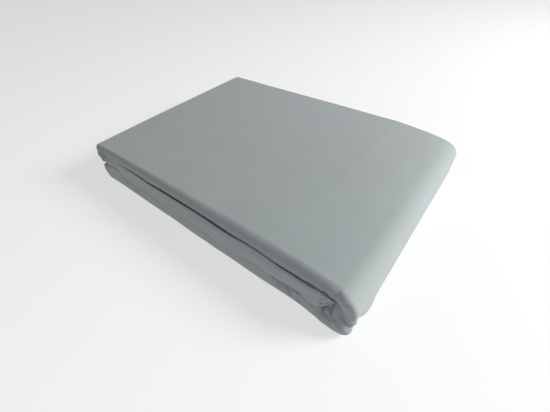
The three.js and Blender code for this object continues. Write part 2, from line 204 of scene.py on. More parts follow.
# The creases of the front and the near corner, each a line of (x, z) points on the front.
# depth is the groove, lift the ridge that runs beside it on its left hand as it is drawn.
CREASES = [
    # name, bands, width, depth, lift, points
    ("short crease on the flap", "top", 1.0, 0.8, 0.3, [(174.8, 41.4), (177.9, 37.0)]),
    ("first pleat", "low", 1.2, 4.2, 2.0, [(153.5, 20.0), (156.4, 17.0), (160.4, 16.0), (164.0, 12.6), (168.0, 10.0)]),
    ("second pleat", "low", 1.1, 3.8, 1.8, [(163.6, 28.0), (166.0, 22.5), (168.6, 17.6), (168.4, 13.0)]),
    ("third pleat", "low", 1.3, 2.0, 1.2, [(169.0, 19.5), (173.0, 14.4), (176.0, 9.5)]),
    ("fourth pleat", "low", 1.2, 3.4, 1.6, [(166.8, 38.0), (169.5, 32.0), (173.0, 26.0), (179.5, 19.5)]),
    ("first mouth corner", "low", 2.2, 5.4, 0.8, [(103.0, 21.6), (107.5, 19.6), (111.2, 15.6), (113.4, 10.6)]),
    ("second mouth corner", "low", 2.2, 6.0, 1.1, [(113.6, 21.4), (117.4, 18.0), (121.4, 14.0), (125.2, 8.6)]),
    ("low diagonal", "low", 1.5, 1.4, 0.7, [(109.0, 14.0), (115.5, 7.0)]),
    ("middle diagonal", "low", 2.2, 1.3, 0.8, [(127.5, 17.5), (134.0, 11.0), (141.0, 6.0)]),
    ("dimple", "middle", 1.2, 2.4, 0.8, [(155.6, 40.0), (155.3, 36.4), (153.9, 30.4), (152.8, 27.5)]),
    ("upper lip line", "middle", 1.0, 2.3, 1.4, [(154.0, 28.6), (156.6, 32.0), (159.6, 37.0), (164.2, 41.6)]),
    ("lip line", "middle", 1.1, 0.9, 0.5, [(136.0, 25.5), (141.5, 23.6), (147.0, 23.4), (152.5, 28.5)]),
    ("fine fold on the middle band", "middle", 1.0, 0.6, 0.4, [(52.0, 41.5), (74.0, 42.5), (97.0, 41.0), (120.0, 42.0)]),
    ("long soft fold", "middle", 1.5, 0.5, 0.4, [(-60.0, 33.0), (-20.0, 35.5), (20.0, 33.0), (60.0, 35.0)]),
    ("fold from the left turn", "middle", 1.6, 1.0, 0.6, [(-176.0, 41.5), (-165.0, 37.0), (-150.0, 34.0), (-132.0, 33.0)]),
    ("turn crease one", "turn", 1.3, 3.4, 0.8, [(-181.0, 46.4), (-172.0, 46.6), (-163.0, 46.0), (-157.0, 44.6)]),
    ("turn crease two", "turn", 1.2, 3.4, 1.1, [(-184.5, 40.6), (-178.0, 42.4), (-170.3, 43.6), (-162.0, 43.0)]),
    ("turn crease three", "turn", 1.2, 3.0, 1.1, [(-184.0, 36.0), (-179.0, 36.4), (-173.0, 37.8), (-165.0, 39.6)]),
    ("low fold at the left", "low", 1.2, 1.3, 0.8, [(-150.0, 17.0), (-120.0, 13.0), (-90.0, 14.0)]),
]


# Creases that run over the rolled edge: name, width, depth, lift, points (x, y, z).
EDGE_CREASES = [
    ("tuck above the mouth", 0.9, 1.9, 0.6, [(154.0, -134.5, 46.0), (159.0, -134.2, 48.0), (164.0, -133.2, 50.4), (172.5, -129.6, 53.4)]),
    ("dark end of that tuck", 1.0, 1.6, 0.0, [(155.5, -134.0, 47.4), (158.0, -134.0, 48.2)]),
    ("tuck from the point", 0.9, 1.9, 0.7, [(166.5, -134.5, 43.4), (171.0, -134.0, 45.2), (176.0, -133.0, 47.6), (181.0, -130.0, 50.4)]),
]


# ---- small helpers -----------------------------------------------------------------------
def clamp01(t):
    return np.clip(t, 0.0, 1.0)


def ease(t):
    t = clamp01(t)
    return t * t * (3 - 2 * t)


def mix(a, b, t):
    return a + (b - a) * t


def column(table, name):
    i = table[0].index(name)
    return np.array([row[i] for row in table[1:]], float)


def at(table, key, place, name):
    """A column of a table at many places, eased from row to row."""
    k, v = column(table, key), column(table, name)
    m = np.zeros_like(v)
    m[1:-1] = (v[2:] - v[:-2]) / (k[2:] - k[:-2])
    m[0] = (v[1] - v[0]) / (k[1] - k[0])
    m[-1] = (v[-1] - v[-2]) / (k[-1] - k[-2])
    x = np.clip(np.asarray(place, float), k[0], k[-1])
    i = np.clip(np.searchsorted(k, x, side="right") - 1, 0, len(k) - 2)
    h = k[i + 1] - k[i]
    t = (x - k[i]) / h
    return (
        (2 * t**3 - 3 * t**2 + 1) * v[i] + (t**3 - 2 * t**2 + t) * m[i] * h
        + (-2 * t**3 + 3 * t**2) * v[i + 1] + (t**3 - t**2) * m[i + 1] * h
    )


def unit(v):
    return v / np.maximum(np.linalg.norm(v, axis=-1, keepdims=True), 1e-9)


def spaced(a, b, steps):
    """Places from a to b whose spacing follows a list of (place, step)."""
    fine = np.linspace(a, b, 4001)
    order = sorted(steps)
    step = np.interp(fine, [s[0] for s in order], [s[1] for s in order])
    count = np.concatenate([[0], np.cumsum(np.abs(np.diff(fine)) / ((step[1:] + step[:-1]) / 2))])
    n = max(2, int(math.ceil(count[-1])))
    return np.interp(np.linspace(0, count[-1], n + 1), count, fine)


def soft_noise(u, v, cell, seed):
    """Smooth noise from -1 to 1 over the plane, with bumps about one cell apart."""
    grid = np.random.RandomState(seed).uniform(-1, 1, (64, 64))
    a, b = u / cell, v / cell
    i, j = np.floor(a).astype(int), np.floor(b).astype(int)
    s, t = ease(a - i), ease(b - j)
    g = lambda p, q: grid[p % 64, q % 64]
    return mix(mix(g(i, j), g(i + 1, j), s), mix(g(i, j + 1), g(i + 1, j + 1), s), t)


# ---- the strip's way through the pack ----------------------------------------------------
WRAP, TONGUE, LEFT_LOW, LEFT_HIGH = 6, 7, 8, 9
stations = []  # x, z, ox, oz, leg, turn


def run(leg, a, b, steps, first=True):
    out = -1 if leg in (1, 4) else 1
    for i, x in enumerate(spaced(a, b, steps)):
        if i or first:
            stations.append((x, leg_z(leg), 0.0, out, leg, 0.0))


def bend(name, cx, cz, radius, start, stop, steps, outside):
    for i in range(1, steps):
        a = math.radians(mix(start, stop, i / steps))
        side = 1 if outside else -1
        stations.append((cx + radius * math.cos(a), cz + radius * math.sin(a), side * math.cos(a), side * math.sin(a), name, i / steps))


HIDDEN = [(-190, 2.2), (-150, 3.2), (-128, 13.0), (140, 13.0), (170, 5.0)]
SHOWN = [(-190, 1.7), (-145, 2.6), (-105, 4.4), (85, 4.4), (105, 2.0), (128, 1.15), (175, 0.95)]
TOPMOST = [(-190, 1.9), (-145, 3.2), (-105, 5.0), (70, 5.0), (120, 3.0), (148, 1.35), (172, 1.2)]
WRAP_X = RIGHT_END - CLOTH / 2 - STRIP
run(2, LEG2_END, LEFT_TURN_LOW, HIDDEN)
bend(LEFT_LOW, LEFT_TURN_LOW, leg_z(1) + TURN, TURN, 90, 270, 20, True)
run(1, LEFT_TURN_LOW, WRAP_X - BOTTOM_CORNER, SHOWN)
bend(WRAP, WRAP_X - BOTTOM_CORNER, leg_z(1) + BOTTOM_CORNER, BOTTOM_CORNER, -90, 0, 12, True)
up_from, up_to = leg_z(1) + BOTTOM_CORNER, leg_z(5) - TOP_CORNER
for t in np.linspace(0, 1, 23):
    stations.append((WRAP_X, mix(up_from, up_to, t), 1.0, 0.0, WRAP, t))
bend(WRAP, WRAP_X - TOP_CORNER, leg_z(5) - TOP_CORNER, TOP_CORNER, 0, 90, 18, True)
run(5, WRAP_X - TOP_CORNER, LEFT_TURN_HIGH, TOPMOST)
bend(LEFT_HIGH, LEFT_TURN_HIGH, leg_z(4) + TURN, TURN, 90, 270, 20, True)
run(4, LEFT_TURN_HIGH, TONGUE_X, SHOWN)
bend(TONGUE, TONGUE_X, leg_z(3) + TURN, TURN, 90, -90, 12, False)
run(3, TONGUE_X, LEG3_END, HIDDEN)
S = np.array(stations, float)
sx, sz, sox, soz, sleg, sturn = S.T
rows = len(S)


def leg_is(*names):
    return np.isin(sleg, names)


# Where each station is along the turn round the right end, from 0 in leg 1 to 1 in leg 5.
arc_low = WRAP_X - BOTTOM_CORNER - GATHER_FROM
arc_foot = BOTTOM_CORNER * math.pi / 2
arc_up = up_to - up_from
arc_head = TOP_CORNER * math.pi / 2
arc_top = WRAP_X - TOP_CORNER - GATHER_TO
AROUND = arc_low + arc_foot + arc_up + arc_head + arc_top
corner_angle = np.arccos(np.clip(sox, -1, 1))
along = np.where(
    sleg == 1, sx - GATHER_FROM,
    np.where(
        sleg == 5, AROUND - (sx - GATHER_TO),
        np.where(
            soz < -1e-9, arc_low + (1 - corner_angle / (math.pi / 2)) * arc_foot,
            np.where(soz > 1e-9, arc_low + arc_foot + arc_up + corner_angle / (math.pi / 2) * arc_head, arc_low + arc_foot + sturn * arc_up),
        ),
    ),
) / AROUND
gathered = leg_is(1, 5, WRAP) & (along > 0) & (along < 1)


# ---- how the pack settles ----------------------------------------------------------------
def levels(x, y):
    across = clamp01((y + HALF) / WIDTH)
    top = STACK + CROWN * (1 - (x / 200) ** 2) * (1 - (y / HALF) ** 2) - at(NOSE, "x", x, "share") * mix(NOSE_FALL_FRONT, NOSE_FALL_BACK, across)
    squeeze = top / STACK
    blend = ease(across * 3)
    low = mix(at(LOW_LINE, "x", x, "z"), LOW_SEAM, blend) * squeeze
    high = mix(at(HIGH_LINE, "x", x, "z"), HIGH_SEAM, blend) * squeeze
    return low, high, top


def shifts(x, y, z):
    lean = LEFT_SKEW * clamp01((-x - 165) / 15) * clamp01((z - 32) / 4)
    pull = CORNER_PULL * ease((FRONT + CORNER_REACH - y) / 12) * clamp01(1 - z / 34) * clamp01((x - 140) / 40)
    belly = 1.8 * np.exp(-(((y + 100) / 9) ** 2)) * clamp01(1 - z / 30) * clamp01((x - 140) / 40)
    return lean * (z - HIGH_SEAM) - pull + belly


def squared_foot(x, z):
    """The turn up at the right end's foot is squarer than an arc."""
    cx, cz, r = RIGHT_END - CLOTH / 2 - STRIP - BOTTOM_CORNER, leg_z(1) + BOTTOM_CORNER, BOTTOM_CORNER + STRIP
    u, v = np.maximum(x - cx, 0) / r, np.maximum(cz - z, 0) / r
    d = np.hypot(u, v)
    p_ = 3.6
    grow = np.where(d > 1e-6, d / np.maximum((u**p_ + v**p_) ** (1 / p_), 1e-6), 1.0)
    grow = np.where((u > 0) & (v > 0), 1 + (grow - 1) * clamp01(d) ** 2, 1.0)
    return np.where(grow > 1, cx + (x - cx) * grow, x), np.where(grow > 1, cz + (z - cz) * grow, z)


def settle(x, y, z):
    x, z = squared_foot(x, z)
    low, high, top = levels(x, y)
    h = np.where(
        z <= CLOTH, z,
        np.where(
            z <= LOW_SEAM, mix(CLOTH, low, (z - CLOTH) / (LOW_SEAM - CLOTH)),
            np.where(z <= HIGH_SEAM, mix(low, high, (z - LOW_SEAM) / (HIGH_SEAM - LOW_SEAM)), mix(high, top, (z - HIGH_SEAM) / (STACK - HIGH_SEAM))),
        ),
    )
    return x + shifts(x, y, z), y, h


def unsettle(x, h):
    """The place before settling of a point of the front that ends up at x and height h."""
    nx, nz = np.array(x, float), np.array(h, float)
    for _ in range(4):
        low, high, top = levels(nx, np.full_like(nx, FRONT + 4))
        nz = np.where(
            h <= low, CLOTH + (h - CLOTH) / (low - CLOTH) * (LOW_SEAM - CLOTH),
            np.where(h <= high, LOW_SEAM + (h - low) / (high - low) * (HIGH_SEAM - LOW_SEAM), HIGH_SEAM + (h - high) / (top - high) * (STACK - HIGH_SEAM)),
        )
        nx = x - shifts(nx, np.full_like(nx, FRONT + 4), nz)
    return nx, nz


# ---- the front roll at every station -----------------------------------------------------
inner_x, inner_z = sx - sox * STRIP, sz - soz * STRIP
outer_x, outer_z = sx + sox * STRIP, sz + soz * STRIP
near_tongue = np.where(sleg == TONGUE, 1.0, np.where(leg_is(3, 4), ease((sx - 130) / 14), 0.0))
# The front bands' edges are pressed thin, so that their corners stay crisp.
THIN = 0.5
thin_in = np.where(sleg == 1, ease((sx + 186) / 16) * (1 - ease((along - 0.3) / 0.2)), 0.0)
thin_in = np.where(leg_is(4, 5), ease((sx + 180) / 16), thin_in)
thin_in = np.where(sleg == WRAP, ease((along - 0.8) / 0.1), thin_in)
thin_out = np.where(sleg == 4, ease((sx + 182) / 16), 0.0)
thin_in, thin_out = (np.where(sleg == TONGUE, 1 - ease(sturn * 2), t_) for t_ in (thin_in, thin_out))
gap_low, gap_high = at(GAPS, "x", sx, "low"), at(GAPS, "x", sx, "high")
tall_low = LOW_SEAM - gap_low / 2 - (CLOTH / 2 - THIN * thin_in) - (leg_z(1) + STRIP)
tall_middle = leg_z(4) - STRIP - (LOW_SEAM + gap_low / 2 + CLOTH / 2 - THIN * thin_out)
recess = np.zeros(rows)
recess = np.where(sleg == 2, mix(1.5, RECESS, ease((sx + 187) / 16)) + 8 * ease((sx - 128) / 22), recess)
recess = np.where(sleg == 3, RECESS * mix(0.5, 1.0, ease((sx + 188) / 14)), recess)
recess = np.where(sleg == LEFT_LOW, mix(1.5, 0.0, sturn), recess)
recess = np.where(sleg == TONGUE, RECESS * ease(sturn * 1.3), recess)
pull_x = np.where(sleg == TONGUE, TONGUE_PULL, np.where(leg_is(3, 4), TONGUE_PULL * ease((sx - 105) / (TONGUE_X - 105)), 0.0))
swell = ease((sx + 187) / 14)
inner_z = np.where(sleg == 1, mix(LEFT_LOW_EYE_Z + 0.5, inner_z + tall_low, swell), inner_z)
inner_x = np.where(sleg == 1, inner_x + (LEFT_LOW_EYE_X + 187.0) * (1 - ease((sx + 187) / 18)), inner_x)
inner_z = np.where(sleg == 2, mix(LEFT_LOW_EYE_Z - 0.4, inner_z, swell), inner_z)
inner_x = np.where(sleg == LEFT_LOW, mix(-187.0, LEFT_LOW_EYE_X, ease(sturn * 2.5)), inner_x)
inner_z = np.where(sleg == LEFT_LOW, mix(LEFT_LOW_EYE_Z - 0.4, LEFT_LOW_EYE_Z + 0.5, sturn), inner_z)
fall = np.where(sleg == 4, mix(0.25, 1.0, ease((sx + 184) / 13)), np.where(sleg == LEFT_HIGH, 0.25 * ease((sturn - 0.45) / 0.55), 0.0))
outer_z = outer_z - tall_middle * fall
# the upper left turn gathers into an eye, and the gap between its legs closes there
reach_gap = np.where(leg_is(4, 5), (LEG_PITCH - 2 * STRIP - CLOTH + 2 * THIN * thin_in - gap_high) / 2, 0.0)
inner_z = inner_z + reach_gap * np.where(sleg == 5, -1, 1)
inner_x = np.where(leg_is(4, 5), inner_x + 4.0 * np.log1p(np.exp(np.clip((LEFT_HIGH_EYE - sx) / 4.0, -30, 30))), inner_x)
inner_x = np.where(sleg == LEFT_HIGH, LEFT_HIGH_EYE, inner_x)
inner_z = np.where(sleg == LEFT_HIGH, mix(leg_z(5) - STRIP - 0.45, leg_z(4) + STRIP + 0.45, sturn), inner_z)

# the mouth of the middle band
mouth = np.where(sleg == 4, at(MOUTH, "x", sx, "share"), 0.0)
mouth = np.where(sleg == TONGUE, 1 - ease(sturn * 1.2), mouth)
mouth_x = np.where(sleg == TONGUE, TONGUE_X, sx)
for name, (ex, ez) in {"upper": (inner_x, inner_z), "lower": (outer_x, outer_z)}.items():
    gx, gz = unsettle(at(MOUTH, "x", mouth_x, name + "X"), at(MOUTH, "x", mouth_x, name + "Z"))
    gx = gx + pull_x * (BEND_Y - 4) / (BEND_Y - 5)
    ex += (gx - ex) * mouth
    ez += (gz - ez) * mouth

# the gathered edge round the right end
gx, gz = unsettle(at(GATHER, "along", along, "x"), at(GATHER, "along", along, "z"))
inner_x = np.where(gathered, gx, inner_x)
inner_z = np.where(gathered, gz, inner_z)
gather_back = np.where(gathered, at(GATHER, "along", along, "back"), 0.0)

proud_x = np.clip(sx, -196, 186)
out = np.zeros(rows)
out = np.where(leg_is(1, 2, LEFT_LOW), at(PROUD, "x", proud_x, "bottom"), out)
out = np.where(sleg == 5, at(PROUD, "x", proud_x, "top"), out)
out = np.where(leg_is(3, 4, TONGUE), at(PROUD, "x", proud_x, "middle"), out)
out = np.where(sleg == LEFT_HIGH, mix(at(PROUD, "x", proud_x, "top"), at(PROUD, "x", proud_x, "middle"), sturn), out)
out = np.where(sleg == WRAP, mix(at(PROUD, "x", 181.0, "bottom"), 0.0, ease((along - 0.25) / 0.4)), out)
half_height = np.hypot(outer_x - inner_x, outer_z - inner_z) / 2
tall = clamp01((half_height - STRIP) / 6)
front = FRONT + CLOTH / 2 + recess - out
depth = mix(STRIP, ROLL_DEPTH, tall)
top_share = np.where(leg_is(5), 1.0, np.where(sleg == LEFT_HIGH, 1 - ease(sturn * 1.6), np.where(sleg == WRAP, ease((along - 0.62) / 0.2), 0.0)))
depth = mix(depth, at(BOW, "x", sx, "depth"), top_share)
depth = np.where(leg_is(4, TONGUE), depth * mix(1.0, clamp01(half_height / 9), mouth), depth)

# ---- the strip's section -----------------------------------------------------------------
PLY, OUTER, REAR, INNER = 0, 1, 2, 3
section = []  # kind, ply name, offset, place, angle


def ply(name, offset, places):
    for p in places:
        section.append((PLY, "DABC".index(name), offset, p, 0.0))


def fold(kind, steps, start, stop):
    for i in range(1, steps):
        section.append((kind, -1, 0.0, 0.0, math.radians(mix(start, stop, i / steps))))


ply("D", -STRIP, [3, 2.985, 2.96, 2.93, 2.6, 2.25, 2, 1.5, 1, 0.87, 0.775, 0.66, 0.55, 0.5, 0.45, 0.34, 0.225, 0.11, 0])
fold(OUTER, 34, -90, 90)
ply("A", STRIP, [0, 0.075, 0.15, 0.225, 0.3, 0.375, 0.45, 0.5, 0.55, 0.625, 0.7, 0.775, 0.85, 0.925, 1]
    + [1.035, 1.075, 1.12, 1.17, 1.225, 1.285, 1.35, 1.42, 1.5, 1.58, 1.66, 1.75, 1.84, 1.92, 2]
    + [2 + i / 23 for i in range(1, 23)] + [2.975, 2.99, 3])
fold(REAR, 8, 90, -90)
ply("B", PLY_PITCH / 2, [3, 2.97, 2.6, 2.2, 2, 1.6, 1.25, 1.06, 1])
fold(INNER, 6, 90, -90)
ply("C", -PLY_PITCH / 2, [1, 1.06, 1.4, 2, 2.5, 2.93, 2.96, 2.985, 3])
C = np.array(section, float)
kind, name_id, offset, place_at, angle = C.T
cols = len(C)


def step_at(t, height):
    """A ply's step between the strip and the edge of a front roll: how far it has run, and the share of the height that is left."""
    steep = np.where(height >= 2 * STEP_RADIUS, math.pi / 2, np.arccos(np.clip(1 - height / (2 * STEP_RADIUS), -1, 1)))
    a = steep * np.minimum(1, np.minimum(t, 1 - t) / 0.45)
    run_, fall = STEP_RADIUS * np.sin(a), STEP_RADIUS * (1 - np.cos(a))
    first = t < 0.5
    gone = np.where(height < 1e-6, t, np.where(first, fall, height - fall) / np.maximum(height, 1e-6))
    return np.where(first, run_, 2 * STEP_RADIUS * np.sin(steep) - run_) + (2 - 1.6 * np.sin(steep)) * t, 1 - gone


def row_(v):
    return np.asarray(v, float)[:, None]


def col_(v):
    return np.asarray(v, float)[None, :]


leg_back = {1: 1, 2: 2, 3: 3, 4: 4, 5: 5, WRAP: 5, TONGUE: 4, LEFT_LOW: 1, LEFT_HIGH: 4}
back_row = np.array([leg_back[int(k)] - 1 for k in sleg])
inset, hem_d, hem_c = (column(BACK, n)[back_row] for n in ("inset", "hemD", "hemC"))
inset = np.where(sleg == TONGUE, mix(column(BACK, "inset")[3], column(BACK, "inset")[2], sturn), np.where(sleg == WRAP, 0, inset))
inset = inset * ease((RIGHT_END - np.abs(sx)) / 60)
# The back edges of the folded layers wander a little along the pack.
path = np.concatenate([[0], np.cumsum(np.hypot(np.diff(sx), np.diff(sz)))])
wander = 0.9 * soft_noise(path, path * 0, 90, 3) + 0.5 * soft_noise(path, path * 0 + 40, 37, 4)
back_axis = HALF - CLOTH / 2 - (PLY_PITCH / 2) * BACK_BLUNT - inset - 0.2 + wander * ease((RIGHT_END - np.abs(sx)) / 40)

axis = front + depth
tallest = np.maximum(
    np.hypot(inner_x - sx + sox * STRIP, inner_z - sz + soz * STRIP),
    np.hypot(outer_x - sx - sox * STRIP, outer_z - sz - soz * STRIP),
)
step_end = axis + step_at(1.0, tallest)[0]
bend_y = FRONT + BEND_Y
inner_axis = mix(step_end + INNER_ROLL_BACK + PLY_PITCH / 2, FRONT + TONGUE_INNER, near_tongue)

is_d, is_a = col_(name_id == 0), col_(name_id == 1)
nominal_x = row_(sx) + row_(sox) * col_(offset)
nominal_z = row_(sz) + row_(soz) * col_(offset)
edge_x = np.where(is_d, row_(inner_x), row_(outer_x))
edge_z = np.where(is_d, row_(inner_z), row_(outer_z))
height = np.hypot(edge_x - nominal_x, edge_z - nominal_z)
taken_run, taken_left = step_at(np.minimum(1, col_(place_at)), height)
inside = col_(name_id >= 2) > 0
left = np.where(inside, 0, taken_left)
end_y = np.where(is_d, row_(back_axis - hem_d + 1.2), np.where(col_(name_id == 3), row_(back_axis - hem_c + 1.2), row_(back_axis)))
start_y = np.where(inside, row_(inner_axis), row_(axis) + taken_run)
place2 = col_(place_at)
Y = np.where(place2 <= 1, start_y, np.where(place2 <= 2, mix(start_y, bend_y, place2 - 1), mix(bend_y, end_y, place2 - 2)))
X = mix(nominal_x, edge_x, left)
Z = mix(nominal_z, edge_z, left)

# The front roll: an oval bow between its edges. It stands furthest out at its crest, and each of
# its two corners is round at 1 and tight below that.
ROLLS = {  # leg or turn: crest, roundness at the inner edge, at the outer edge
    1: (0.50, 0.06, 0.34), 4: (0.50, 0.16, 0.06), 5: (0.05, 0.16, 1.0),
    2: (0.5, 0.8, 0.8), 3: (0.5, 0.8, 0.8), TONGUE: (0.5, 0.8, 0.8),
    LEFT_LOW: (0.5, 0.4, 0.5), LEFT_HIGH: (0.4, 0.4, 0.6), WRAP: (0.45, 0.7, 0.5),
}
crest, round_in, round_out = (np.array([ROLLS[int(k)][i] for k in sleg]) for i in range(3))


def towards(values, share, goals):
    return [mix(v, g, share) for v, g in zip(values, goals)]


roll_shape = [crest, round_in, round_out]
roll_shape = towards(roll_shape, np.where(sleg == WRAP, ease((along - 0.56) / 0.4), 0.0), ROLLS[5])
roll_shape = towards(roll_shape, np.where(sleg == 1, ease((along - 0.02) / 0.3), 0.0), ROLLS[WRAP])
roll_shape = towards(roll_shape, np.where(leg_is(1, WRAP) & (along > 0), ease((along - 0.03) / 0.1) * (1 - ease((along - 0.34) / 0.15)), 0.0), (0.45, 0.7, 0.14))
roll_shape = towards(roll_shape, np.where(sleg == LEFT_HIGH, 1 - ease(sturn * 2.2), 0.0), ROLLS[5])
roll_shape = towards(roll_shape, np.where(sleg == LEFT_HIGH, ease((sturn - 0.6) / 0.4), 0.0), ROLLS[4])
roll_shape = towards(roll_shape, np.where(sleg == 4, ease((sx - 60) / 30), 0.0), (0.5, 0.22, 0.22))
roll_shape = towards(roll_shape, np.where(sleg == 1, ease((sx - 60) / 30) * (1 - ease(along / 0.1)), 0.0), (0.5, 0.22, 0.34))
crest, round_in, round_out = roll_shape
t = (1 + np.sin(col_(angle))) / 2
crest = row_(crest)
from_crest = np.where(t < crest, (crest - t) / crest, (t - crest) / (1 - crest))
# the top's bow ends at its lip before it stands upright
short = row_(np.where(leg_is(5), 1.0, np.where(sleg == LEFT_HIGH, 1 - ease(sturn * 2.2), np.where(sleg == WRAP, ease((along - 0.66) / 0.3), 0.0)))) * 0.34
from_crest = np.where(t < crest, from_crest, mix(short, 1.0, from_crest))
c = np.clip(1 - from_crest**2, 0, 1) / np.where(t < crest, 1.0, 1 - short**2)
c = c ** (np.where(t < crest, row_(round_in), row_(round_out)) / 2)
on_roll = col_(kind == OUTER) > 0
drop = np.where(leg_is(4), at(GAPS, "x", sx, "drop"), 0.0)
Y = np.where(on_roll, row_(axis) - row_(depth) * c, Y)
X = np.where(on_roll, mix(row_(inner_x), row_(outer_x), t), X)
Z = np.where(on_roll, mix(row_(inner_z), row_(outer_z), t), Z)
# behind the gathered edge the roll falls away deeper
sink = row_(gather_back) * (1 - t) ** 2
Y = np.where(on_roll, Y + sink, np.where((is_d > 0) & (place2 <= 2), Y + row_(gather_back) * clamp01(2 - place2), Y))

thin = np.where(on_roll, row_(thin_in) * ease((0.30 - t) / 0.22) + row_(thin_out) * ease((t - 0.70) / 0.22), 0.0)
thin = np.where((is_d > 0) & (place2 < 1), row_(thin_in) * (1 - place2), thin)
thin = np.where((is_a > 0) & (place2 < 1), row_(thin_out) * (1 - place2), thin)
Y = Y - THIN * thin * on_roll
Z = Z - row_(drop) * np.where(on_roll & (t < 0.5), ease((0.90 - c) / 0.55), np.where((is_d > 0) & (place2 <= 1), 1 - ease(place2 / 0.7), 0.0))

on_rear = col_(kind == REAR) > 0
h = PLY_PITCH + (PLY_PITCH / 2) * np.sin(col_(angle))
Y = np.where(on_rear, row_(back_axis) + (PLY_PITCH / 2) * BACK_BLUNT * np.cos(col_(angle)), Y)
X = np.where(on_rear, row_(sx) + row_(sox) * h, X)
Z = np.where(on_rear, row_(sz) + row_(soz) * h, Z)
on_inner = col_(kind == INNER) > 0
h = (PLY_PITCH / 2) * np.sin(col_(angle))
Y = np.where(on_inner, row_(inner_axis) - (PLY_PITCH / 2) * np.cos(col_(angle)), Y)
X = np.where(on_inner, row_(sx) + row_(sox) * h, X)
Z = np.where(on_inner, row_(sz) + row_(soz) * h, Z)

X = X - row_(pull_x) * clamp01((FRONT + BEND_Y - Y) / (BEND_Y - 5))
X, Y, Z = settle(X, Y, Z)
P = np.stack([X, Y, Z], -1)


def normals(P):
    """The way that the sheet's outer face looks, at every point of its middle."""
    across = np.zeros_like(P)
    d = unit(np.diff(P, axis=1))
    across[:, :-1] += d
    across[:, 1:] += d
    down = np.zeros_like(P)
    d = unit(np.diff(P, axis=0))
    down[:-1] += d
    down[1:] += d
    return unit(np.cross(across, down))


# ---- creases, ridges and soft waves ------------------------------------------------------
def beside(px, pz, points):
    """Signed distance to a line, positive on its left hand, and the share of the line's length."""
    pts = np.array(points, float)
    seg = np.diff(pts, axis=0)
    length = np.hypot(seg[:, 0], seg[:, 1])
    total, done = length.sum(), 0.0
    best = np.full(px.shape, 1e9)
    side, share = np.ones(px.shape), np.zeros(px.shape)
    for i in range(len(seg)):
        ux, uz = seg[i] / length[i]
        dx, dz = px - pts[i, 0], pz - pts[i, 1]
        s = np.clip(dx * ux + dz * uz, 0, length[i])
        d = np.hypot(dx - s * ux, dz - s * uz)
        near = d < best
        best = np.where(near, d, best)
        side = np.where(near, np.sign(ux * dz - uz * dx), side)
        share = np.where(near, (done + s) / total, share)
        done += length[i]
    return best * side, share


N = normals(P)
lift = np.zeros(P.shape[:2])
front_cols = on_roll | ((is_a > 0) & (place2 <= 2))
bands = {
    "top": row_(leg_is(5) | (leg_is(WRAP) & (along > 0.5))) * front_cols,
    "low": row_(leg_is(1, WRAP)) * on_roll,
    "middle": row_(leg_is(4)) * on_roll,
    "turn": row_(leg_is(4, LEFT_HIGH)) * on_roll * (P[..., 0] > -185.5),
}
px, py, pz = P[..., 0], P[..., 1], P[..., 2]
at_front = clamp01((FRONT + 22 - py) / 8)
for label, band, width, groove, ridge, points in CREASES:
    d, share = beside(px, pz, points)
    taper = ease(share / 0.25) * 0.5 + 0.5
    taper = taper * ease((1 - share) / 0.35)
    w = width * (1 + 0.35 * share)
    f = -groove * np.exp(-((d / w) ** 2)) + ridge * np.exp(-(((d - 2.0 * w) / (1.5 * w)) ** 2))
    lift += bands[band] * at_front * taper * f * (np.abs(d) < 12)

for label, width, groove, ridge, points in EDGE_CREASES:
    pts = np.array(points)
    best = np.full(px.shape, 1e9)
    share, side = np.zeros(px.shape), np.ones(px.shape)
    for i in range(len(pts) - 1):
        seg = pts[i + 1] - pts[i]
        rel = P - pts[i]
        s = np.clip((rel @ seg) / (seg @ seg), 0, 1)
        off = rel - s[..., None] * seg
        d = np.linalg.norm(off * [1, 0.7, 1], axis=-1)
        near = d < best
        best = np.where(near, d, best)
        share = np.where(near, (i + s) / (len(pts) - 1), share)
        side = np.where(near, np.sign(np.einsum("ijk,ijk->ij", np.cross(seg, off), N)), side)
    d = best * side
    taper = (0.5 + 0.5 * ease(share / 0.25)) * ease((1 - share) / 0.4)
    lift += bands["top"] * taper * (-groove * np.exp(-((d / width) ** 2)) + ridge * np.exp(-(((d - 2 * width) / (1.5 * width)) ** 2)))

# The flap of the right end laps over the pleats: it stands proud above its edge, and the pleats
# fall away below it.
FLAP_EDGE = [(165.8, 43.0), (168.8, 41.6), (171.8, 39.0), (174.6, 35.0), (178.0, 31.4), (182.0, 29.6), (186.0, 29.6)]
d, share = beside(px, pz, FLAP_EDGE)
rise = ease(share / 0.2) * ease((1 - share) / 0.12)
flap = 1.0 * np.exp(-np.maximum(d, 0) / 9.0) * (d > 0) - 5.5 * np.exp(np.minimum(d, 0) / 5.5) * (d <= 0)
flap = np.where(np.abs(d) < 0.35, mix(-5.5, 1.0, clamp01((d + 0.35) / 0.7)), flap)
push = row_(leg_is(WRAP, 1, 5)) * on_roll * at_front * rise * flap * (np.abs(d) < 25)

# Ridges between the pleats, fanned out from the gathered point.
fan = np.degrees(np.arctan2(pz - 41.5, px - 165.0))
reach = np.hypot(px - 165.0, pz - 41.5)
for middle, spread, high in [(-120, 5, 2.2), (-101, 4.5, 2.6), (-82, 4.5, 2.2), (-64, 5, 2.6), (-47, 4, 1.2)]:
    lift += row_(leg_is(1, WRAP)) * on_roll * at_front * high * np.exp(-(((fan - middle) / spread) ** 2)) * ease((reach - 4) / 9) * ease((42 - reach) / 12)

